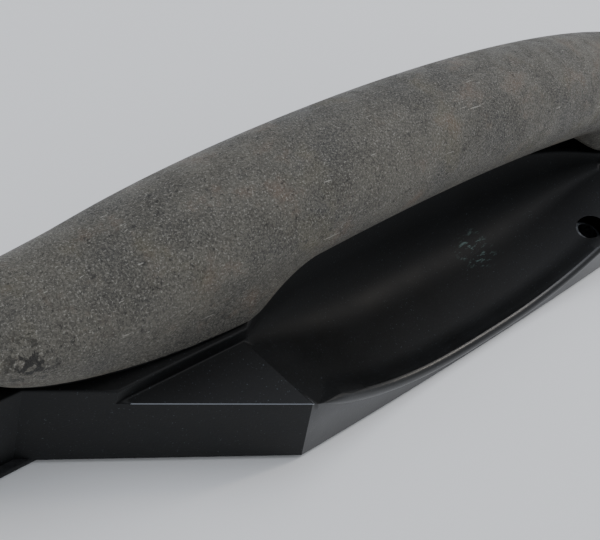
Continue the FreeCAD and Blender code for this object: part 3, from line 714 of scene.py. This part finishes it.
# Any turned pin, standing on z = 0: head, shank, thread, chamfered ends and a drive socket.
pin_tree, given = start_tree(
    "turned_pin", ("Head Radius", "Head Height", "Shank Radius", "Length", "Chamfer",
                   "Thread Pitch", "Thread Depth", "Socket Radius", "Socket Depth"),
    ("Rows", "Socket Sides"))
bar = add_node(pin_tree, "GeometryNodeMeshCylinder", {"Vertices": 48},
               Side_Segments=given["Rows"], Radius=given["Shank Radius"],
               Depth=given["Length"])
lift = add_node(pin_tree, "ShaderNodeCombineXYZ",
                Z=calc(pin_tree, "MULTIPLY", given["Length"], 0.5)).outputs[0]
bar = add_node(pin_tree, "GeometryNodeSetPosition", Geometry=bar.outputs["Mesh"], Offset=lift)
turn, height, radius = around(pin_tree)
shank = calc(pin_tree, "GREATER_THAN", height, given["Head Height"])
head = calc(pin_tree, "SUBTRACT", 1.0, shank)
thread = calc(pin_tree, "ADD", calc(pin_tree, "DIVIDE", height, given["Thread Pitch"]), turn)
thread = calc(pin_tree, "MULTIPLY", calc(pin_tree, "PINGPONG", thread, 0.5),
              given["Thread Depth"])
near_end = calc(pin_tree, "LESS_THAN", height, 0.01 * MM)
far_end = calc(pin_tree, "GREATER_THAN", height,
               calc(pin_tree, "SUBTRACT", given["Length"], 0.01 * MM))
chamfer = calc(pin_tree, "MULTIPLY", calc(pin_tree, "ADD", near_end, far_end),
               given["Chamfer"])
push = calc(pin_tree, "MULTIPLY", head,
            calc(pin_tree, "SUBTRACT", given["Head Radius"], given["Shank Radius"]))
push = calc(pin_tree, "SUBTRACT", push, calc(pin_tree, "MULTIPLY", shank, thread))
push = calc(pin_tree, "SUBTRACT", push, chamfer)
pin = corrugate(pin_tree, bar.outputs[0], push)
drive = add_node(pin_tree, "GeometryNodeMeshCylinder", Vertices=given["Socket Sides"],
                 Radius=given["Socket Radius"],
                 Depth=calc(pin_tree, "ADD", given["Socket Depth"], 1.0 * MM))
lower = add_node(pin_tree, "ShaderNodeCombineXYZ",
                 Z=calc(pin_tree, "MULTIPLY",
                        calc(pin_tree, "SUBTRACT", given["Socket Depth"], 1.0 * MM), 0.5))
drive = add_node(pin_tree, "GeometryNodeSetPosition", Geometry=drive.outputs["Mesh"],
                 Offset=lower.outputs[0])
pin = add_node(pin_tree, "GeometryNodeMeshBoolean", {"operation": "DIFFERENCE"},
               i0=pin.outputs[0], i1=drive.outputs[0])
close_tree(pin_tree, given, pin.outputs[0])


def pin_sizes(head, head_height, shank, low, high, place, rows, **more):
    """Inputs of a pair of pins either side of the middle, in metres."""
    values = {"Head Radius": head * MM, "Head Height": head_height * MM,
              "Shank Radius": shank * MM, "Length": (high - low) * MM, "Chamfer": 0.3 * MM,
              "Thread Pitch": 1.0 * MM, "Thread Depth": 0.0, "Socket Radius": 1.0 * MM,
              "Socket Depth": -0.5 * MM, "Rows": rows, "Socket Sides": 6, "Copies": 2,
              "Start": (place[0] * MM, place[1] * MM, low * MM),
              "Step": (-2 * place[0] * MM, 0.0, 0.0)}
    return values | more


def patchy_metal(name, plain, size, low, detail, colours, roughness):
    """A metal whose colour and roughness drift between two values in patches of one size."""
    material, tree, shader, place = new_material(name, plain, 1.0)
    patches = speckle(tree, place, size, low, 0.7, detail)
    first, second = (linear(code) for code in colours)
    tree.links.new(blend_colour(tree, patches, first, second), shader.inputs["Base Color"])
    roughen(tree, shader, patches, *roughness)
    return material


# Zinc plate, dulled a little in handling: paler than bare steel and slightly blue.
plated = patchy_metal("zinc_plated_fixing", 0.34, 1.6, 0.3, 3.0, ("#9a9fa3", "#bcc2c6"),
                      (0.26, 0.44))
tapper_low, tapper_high = (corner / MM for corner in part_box("plate_screws"))
tappers = grow("plate_screws_turned", pin_tree,
               pin_sizes(TAPPER_HEAD, 2.2, TAPPER_RADIUS, tapper_low.z, tapper_high.z,
                         TAPPER_PLACE, 90,
                         **{"Thread Pitch": 1.4 * MM, "Thread Depth": 0.45 * MM,
                            "Socket Radius": 1.5 * MM, "Socket Depth": 1.2 * MM}), plated)
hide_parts("plate_screws")
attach(tappers, "root")

sleeve_low, sleeve_high = (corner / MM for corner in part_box("spacer_sleeve_left"))
sleeves = grow("spacer_sleeves", ring_tree,
               ring_sizes(SLEEVE_RADIUS, SLEEVE_BORE, sleeve_low.z, sleeve_high.z,
                          (SCREW_PLACE, 0)), zinc)
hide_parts("spacer_sleeve_left", "spacer_sleeve_right")
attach(sleeves, "root")

# Hardened and ground: brighter and smoother than the turned parts.
ground_steel = patchy_metal("ground_dowel_steel", 0.18, 0.2, 0.3, 2.0, ("#b4b6b8", "#c9cbcc"),
                            (0.14, 0.24))
dowel_low, dowel_high = (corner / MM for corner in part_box("locating_dowel_left"))
dowels = grow("locating_dowels", pin_tree,
              pin_sizes(DOWEL_RADIUS, 0.0, DOWEL_RADIUS, dowel_low.z, dowel_high.z,
                        (DOWEL_PLACE, 0), 30), ground_steel)
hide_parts("locating_dowel_left", "locating_dowel_right")
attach(dowels, "root")

# ------------------------------------------------------------------ seat gaskets
# Rubber pads cut to each foot's print, under a millimetre short of it all round, with holes
# for the screw and the dowel: they keep the stone off the hard seat.
pad_low, pad_high = (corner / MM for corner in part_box("seat_gasket_right"))
FOOT_INNER = 62.5
FOOT_OUTER = 108.0
FOOT_WIDTH = 12.6
FOOT_POWER = 2.2
PAD_INSET = 0.5
PAD_ROUND = 0.3


def pad_ring(sign, z, shrink):
    """One level of a pad's edge: straight across the inner end, rounded at the outer one."""
    inner = FOOT_INNER + PAD_INSET + shrink
    reach = FOOT_OUTER - PAD_INSET - shrink - inner
    half = FOOT_WIDTH - PAD_INSET - shrink
    blends = [math.sin(math.pi / 2 * i / 36) for i in range(-36, 37)]
    return [(sign * (inner + reach * (1 - abs(b) ** 2) ** (1 / FOOT_POWER)), half * b, z)
            for b in blends]


pad_points, pad_faces = [], []
for sign in (-1, 1):
    rings = [pad_ring(sign, z, shrink) for z, shrink in (
        (pad_low.z, PAD_ROUND), (pad_low.z + 0.15, 0.08), (pad_low.z + 0.4, 0),
        (pad_high.z - 0.4, 0), (pad_high.z - 0.15, 0.08), (pad_high.z, PAD_ROUND))]
    start, count = len(pad_points), len(rings[0])
    pad_points += [p for ring in rings for p in ring]
    pad_faces += [(start + k * count + i, start + k * count + (i + 1) % count,
                   start + (k + 1) * count + (i + 1) % count, start + (k + 1) * count + i)
                  for k in range(len(rings) - 1) for i in range(count)]
    pad_faces += [tuple(range(start, start + count)),
                  tuple(range(len(pad_points) - count, len(pad_points)))]
pad_holes = []
for sign in (-1, 1):
    pad_holes += [rod(sign * SCREW_PLACE, 0, SLEEVE_RADIUS, 20, 24),
                  rod(sign * DOWEL_PLACE, 0, DOWEL_RADIUS, 20, 24)]
pad_mesh = combine(mesh_of("seat_gaskets", pad_points, pad_faces), "DIFFERENCE", *pad_holes)

# Black nitrile: duller than the moulding, with a bloom of pale dust.
rubber, tree, shader, place = new_material("nitrile_rubber", 0.7)
shader.inputs["Specular IOR Level"].default_value = 0.25
bloom = speckle(tree, place, 2.5, 0.4, 0.75, 3.0)
tree.links.new(blend_colour(tree, bloom, linear("#090909"), linear("#1b1b1c")),
               shader.inputs["Base Color"])
roughen(tree, shader, bloom, 0.6, 0.82)
emboss(tree, shader, bloom, 0.3, 0.02)
pads = show("seat_gaskets", pad_mesh, rubber)
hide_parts("seat_gasket_left", "seat_gasket_right")
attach(pads, "root")

# ------------------------------------------------------------------ stone grip
# One piece of basalt, sawn, ground and honed: an arched bar that deepens into two feet,
# flat under each foot and rounded at the tips. Holes are drilled for inserts and dowels.
grip_low, grip_high = (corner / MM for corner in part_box("stone_grip"))
GRIP_LENGTH = grip_high.x
GRIP_WIDTH = grip_high.y
GRIP_BOTTOM = grip_low.z
GRIP_TOP = grip_high.z
ARCH_RADIUS = 414.0
GRIP_RISE = 12.2
NOSE_START = 85.0
NOSE_LIFT = 4.3
WIDEST_START = 90.0
WIDEST_LIFT = 10.0
PINCH_START = 70.0
PINCH_END = 112.0
TIP_START = 108.0
FLARE_START = 48.0
GRIP_STATIONS = 380
GRIP_RING = 196
EDGE_SOFTNESS = 0.35


def blunt(x, power):
    return math.sqrt(max(1.0 - (abs(x) / GRIP_LENGTH) ** power, 0.0))


def past(x, start):
    """How much of the way from a place on the grip to its tip is behind x, 0 to 1."""
    return max(abs(x) - start, 0.0) / (GRIP_LENGTH - start)


def tip_fade(x):
    """1 along the grip, easing to 0 over its last few millimetres, so that the tip is round."""
    return 1.0 - ease(past(x, TIP_START))


def grip_rise(x):
    """How far the section reaches above its widest line, which climbs towards the tip."""
    rise = GRIP_RISE * blunt(x, 5.0)
    return max(rise - WIDEST_LIFT * past(x, WIDEST_START) ** 1.5 * tip_fade(x), 0.15 * rise)


def grip_centre(x):
    """Height of the widest line of the section."""
    spine = GRIP_TOP - GRIP_RISE - ARCH_RADIUS + math.sqrt(ARCH_RADIUS ** 2 - x ** 2)
    return (spine + NOSE_LIFT * past(x, NOSE_START) ** 2 + GRIP_RISE * blunt(x, 5.0)
            - grip_rise(x))


def flank_power(x):
    """1 where the lower half of the section is half an ellipse, more where it is flatter."""
    reach = (abs(x) - PINCH_START) / (PINCH_END - PINCH_START)
    return 1.0 + 0.8 * min(max(reach, 0.0), 1.0) * tip_fade(x)


def grip_drop(x):
    """Depth of the section below its widest line, before the flat underside is ground."""
    reach = abs(x)
    above = grip_centre(x) - GRIP_BOTTOM
    if reach >= FOOT_OUTER:
        return above * math.sqrt(max(1.0 - ((reach - FOOT_OUTER)
                                            / (GRIP_LENGTH - FOOT_OUTER)) ** 2, 0.0))
    if reach >= FOOT_INNER:
        half = FOOT_WIDTH * math.sqrt(
            1.0 - ((reach - FOOT_INNER) / (FOOT_OUTER - FOOT_INNER)) ** FOOT_POWER)
        share = half / (GRIP_WIDTH * blunt(x, 6.5))
        return above / math.sqrt(1.0 - share ** (2 / flank_power(x)))
    blend = max(reach - FLARE_START, 0.0) / (FOOT_INNER - FLARE_START)
    return GRIP_RISE + (grip_drop(FOOT_INNER) - GRIP_RISE) * blend ** 2.4


def grip_underside(x):
    """Height that the underside is ground to: flat under the feet, sweeping up to the bar."""
    bar_bottom = grip_centre(FLARE_START) - GRIP_RISE
    blend = min(max((abs(x) - FLARE_START) / (FOOT_INNER - FLARE_START), 0.0), 1.0)
    if abs(x) < FLARE_START:
        return bar_bottom - 5.0
    return bar_bottom + (GRIP_BOTTOM - bar_bottom) * (1 - math.cos(math.pi * blend)) / 2


def grip_ring(x):
    """One closed section, its points spread evenly along its length."""
    turn = np.linspace(0, 2 * math.pi, 1441)
    high, wide = np.sin(turn), np.cos(turn)
    wide = np.where(high > 0, wide, np.sign(wide) * np.abs(wide) ** flank_power(x))
    y = GRIP_WIDTH * blunt(x, 6.5) * wide
    z = grip_centre(x) + np.where(high > 0, grip_rise(x), grip_drop(x)) * high
    ground = grip_underside(x)
    z = ground + EDGE_SOFTNESS * np.logaddexp(0.0, (z - ground) / EDGE_SOFTNESS)
    along = np.concatenate([[0.0], np.cumsum(np.hypot(np.diff(y), np.diff(z)))])
    places = np.arange(GRIP_RING) / GRIP_RING * along[-1]
    return np.interp(places, along, y), np.interp(places, along, z)


nose_angle = math.asin(0.99995)
points, faces = [], []
for station in range(-GRIP_STATIONS // 2, GRIP_STATIONS // 2 + 1):
    lean = nose_angle * station / (GRIP_STATIONS / 2)
    x = GRIP_LENGTH * (0.35 * station / (GRIP_STATIONS / 2) + 0.65 * math.sin(lean))
    x = max(-GRIP_LENGTH * 0.9999, min(x, GRIP_LENGTH * 0.9999))
    ring_y, ring_z = grip_ring(x)
    points += [(x, y, z) for y, z in zip(ring_y, ring_z)]
for station in range(GRIP_STATIONS):
    for i in range(GRIP_RING):
        j = (i + 1) % GRIP_RING
        a, b = station * GRIP_RING, (station + 1) * GRIP_RING
        faces.append((a + i, b + i, b + j, a + j))
faces.append(tuple(range(GRIP_RING)))
faces.append(tuple(reversed(range(GRIP_STATIONS * GRIP_RING, (GRIP_STATIONS + 1) * GRIP_RING))))
stone_holes = []
for sign in (-1, 1):
    stone_holes += [rod(sign * SCREW_PLACE, 0, 5.0, 20.0, 35.2),
                    rod(sign * DOWEL_PLACE, 0, DOWEL_RADIUS, 20.0, 28.0)]
grip_mesh = combine(mesh_of("stone_grip", points, faces), "DIFFERENCE", *stone_holes)

# Fine-grained basalt: warm grey, peppered at half a millimetre with dark pyroxene and pale
# feldspar, a few rusty patches, and pale pinpoints of painted highlight in its honed grain.
basalt, tree, shader, place = new_material("honed_basalt", 0.65)
shader.inputs["Specular IOR Level"].default_value = 0.35
clouds = speckle(tree, place, 18.0, 0.40, 0.60, 5.0, 0.6)
mottle = speckle(tree, place, 5.0, 0.44, 0.66, 4.0, 0.65)
sand = speckle(tree, place, 0.42, 0.40, 0.60, 3.0, 0.75)
dark_fleck = speckle(tree, place, 1.1, 0.62, 0.68, 3.0, 0.6)
painted_grain_glints = speckle(tree, place, 0.32, 0.60, 0.70, 1.0)
rust = speckle(tree, place, 9.0, 0.56, 0.72, 4.0, 0.7)
ochre = speckle(tree, place, 12.0, 0.58, 0.74, 3.0, 0.6)
colour = blend_colour(tree, clouds, linear("#3a3936"), linear("#545149"))
colour = blend_colour(tree, mottle, colour, linear("#32302d"), 0.35)
colour = blend_colour(tree, rust, colour, linear("#6e5444"), 0.42)
colour = blend_colour(tree, ochre, colour, linear("#69603f"), 0.30)
colour = blend_colour(tree, sand, colour, linear("#8d897e"), 0.38)
colour = blend_colour(tree, dark_fleck, colour, linear("#191816"), 0.60)
# Painted highlight: sparse pale pinpoints stand in for glints off the honed grain.
colour = blend_colour(tree, painted_grain_glints, colour, linear("#b5b2a8"), 0.38)

# A cluster of open pits on the left foot, and a few short pale scratches on the bar.
pit_place = add_node(tree, "ShaderNodeVectorMath", {"operation": "DISTANCE",
                                                    1: (-105 * MM, -9.5 * MM, 33 * MM)},
                     i0=place).outputs["Value"]
near = add_node(tree, "ShaderNodeMapRange", {"From Min": 6.0 * MM, "From Max": 2.0 * MM},
                Value=pit_place).outputs["Result"]
pits = speckle(tree, place, 1.5, 0.50, 0.57, 3.0, 0.65)
pits = add_node(tree, "ShaderNodeMath", {"operation": "MULTIPLY"}, i0=pits,
                i1=near).outputs[0]
colour = blend_colour(tree, pits, colour, linear("#0d0c0b"), 0.85)
drawn = add_node(tree, "ShaderNodeMapping", {"Rotation": (0.0, 0.5, 0.9),
                                             "Scale": (0.06, 1.0, 1.0)}, Vector=place)
scores = speckle(tree, drawn.outputs["Vector"], 0.5, 0.76, 0.80, 1.0)
colour = blend_colour(tree, scores, colour, linear("#b9b6ac"), 0.55)
tree.links.new(colour, shader.inputs["Base Color"])
roughen(tree, shader, mottle, 0.46, 0.68)
emboss(tree, shader, sand, 0.8, 0.12)
grip = show("stone_grip_honed", grip_mesh, basalt, 40.0)
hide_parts("stone_grip")
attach(grip, "root")

# ------------------------------------------------------------------ threaded inserts and resin
# Knurled brass M6 inserts, set in drilled holes with epoxy: stone can't be threaded itself.
# The resin is a plain cup round each insert, so only its finish is made here.
insert_low, insert_high = (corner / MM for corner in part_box("threaded_insert_left"))
# Machined brass, a little tarnished: yellow, and browner in its patches.
brass = patchy_metal("machined_brass", 0.3, 1.2, 0.35, 3.0, ("#c9a04e", "#a98139"), (0.22, 0.42))
inserts = grow("threaded_inserts", ring_tree,
               ring_sizes(4.5, 3.0, insert_low.z, insert_high.z, (SCREW_PLACE, 0), Cuts=48,
                          Knurls=32, **{"Knurl Depth": 0.6 * MM, "Thread Pitch": 1.0 * MM,
                                        "Thread Depth": 0.5 * MM}), brass)
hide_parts("threaded_insert_left", "threaded_insert_right")
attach(inserts, "root")

# Cured epoxy: amber, glassy and a little cloudy.
epoxy, tree, shader, place = new_material("cured_epoxy", 0.2)
cloudy = speckle(tree, place, 2.0, 0.35, 0.7, 3.0)
tree.links.new(blend_colour(tree, cloudy, linear("#b08d4a"), linear("#cdb277")),
               shader.inputs["Base Color"])
roughen(tree, shader, cloudy, 0.15, 0.35)
finish(["bonding_resin_left", "bonding_resin_right"], epoxy)

# ------------------------------------------------------------------ washers
# Stamped flat washers, and split spring washers under the heads of the foot screws.
flat_low, flat_high = (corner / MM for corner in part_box("flat_washer_left"))
spring_low, spring_high = (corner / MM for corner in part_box("spring_washer_left"))
# Stamped and tumbled steel: duller than the screws, with small scuffs.
stamped = patchy_metal("stamped_washer_steel", 0.36, 0.8, 0.3, 3.0, ("#92969a", "#b1b6ba"),
                       (0.28, 0.5))
washers = grow("flat_washers", ring_tree,
               ring_sizes(6.0, 3.2, flat_low.z, flat_high.z, (SCREW_PLACE, 0)), stamped)
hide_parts("flat_washer_left", "flat_washer_right")
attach(washers, "root")

# A spring washer: a square bar bent round to a split, its two ends a little apart in height.
coil_tree, given = start_tree("split_ring", ("Middle Radius", "Bar Width", "Bar Height",
                                             "Rise", "Split Angle"))
sweep = calc(coil_tree, "SUBTRACT", 2 * math.pi, given["Split Angle"])
arc = add_node(coil_tree, "GeometryNodeCurveArc", {"mode": "RADIUS", "Resolution": 72},
               Radius=given["Middle Radius"],
               Start_Angle=calc(coil_tree, "MULTIPLY", given["Split Angle"], 0.5),
               Sweep_Angle=sweep)
bar = add_node(coil_tree, "GeometryNodeCurvePrimitiveQuadrilateral", i0=given["Bar Width"],
               i1=given["Bar Height"])
coil = add_node(coil_tree, "GeometryNodeCurveToMesh", {"Fill Caps": True},
                Curve=arc.outputs[0], Profile_Curve=bar.outputs[0])
turn, height, radius = around(coil_tree)
whole = calc(coil_tree, "WRAP", turn, 1.0, 0.0)
rise = calc(coil_tree, "MULTIPLY", calc(coil_tree, "SUBTRACT", whole, 0.5), given["Rise"])
coil = add_node(coil_tree, "GeometryNodeSetPosition", Geometry=coil.outputs[0],
                Offset=add_node(coil_tree, "ShaderNodeCombineXYZ", Z=rise).outputs[0])
close_tree(coil_tree, given, coil.outputs[0])
COIL_RISE = 0.3
coil_middle = (spring_low.z + spring_high.z) / 2
coils = grow("spring_washers", coil_tree,
             {"Middle Radius": 4.3 * MM, "Bar Width": 2.4 * MM,
              "Bar Height": (spring_high.z - spring_low.z - COIL_RISE) * MM,
              "Rise": COIL_RISE * MM, "Split Angle": 0.19, "Copies": 2,
              "Start": (SCREW_PLACE * MM, 0.0, coil_middle * MM),
              "Step": (-2 * SCREW_PLACE * MM, 0.0, 0.0)}, stamped)
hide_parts("spring_washer_left", "spring_washer_right")
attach(coils, "root")

# ------------------------------------------------------------------ foot screws
# M6 socket screws, run up from behind through washers, plate and sleeve into the inserts.
foot_low, foot_high = (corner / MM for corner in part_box("foot_screw_left"))
foot_screws = grow("foot_screws", pin_tree,
                   pin_sizes(5.25, 3.3, 3.0, foot_low.z, foot_high.z, (SCREW_PLACE, 0), 240,
                             **{"Thread Pitch": 1.0 * MM, "Thread Depth": 0.5 * MM,
                                "Socket Radius": 2.31 * MM, "Socket Depth": 2.0 * MM}),
                   plated)
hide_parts("foot_screw_left", "foot_screw_right")
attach(foot_screws, "root")

# ------------------------------------------------------------------ cup ferrule
# A plain steel ferrule pressed into the screw hole in the cup's floor.
ferrule_low, ferrule_high = (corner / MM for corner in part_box("cup_ferrule"))
# Blackened and oiled steel: a dark metal with a soft, uneven shine.
dull_steel = patchy_metal("oiled_black_steel", 0.42, 0.9, 0.35, 3.0, ("#3c3e40", "#5c5f62"),
                          (0.36, 0.52))
ferrule = grow("cup_ferrule_turned", ring_tree,
               ring_sizes(FERRULE_RADIUS, 2.75, ferrule_low.z, ferrule_high.z, FERRULE, 1),
               dull_steel)
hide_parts("cup_ferrule")
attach(ferrule, "root")
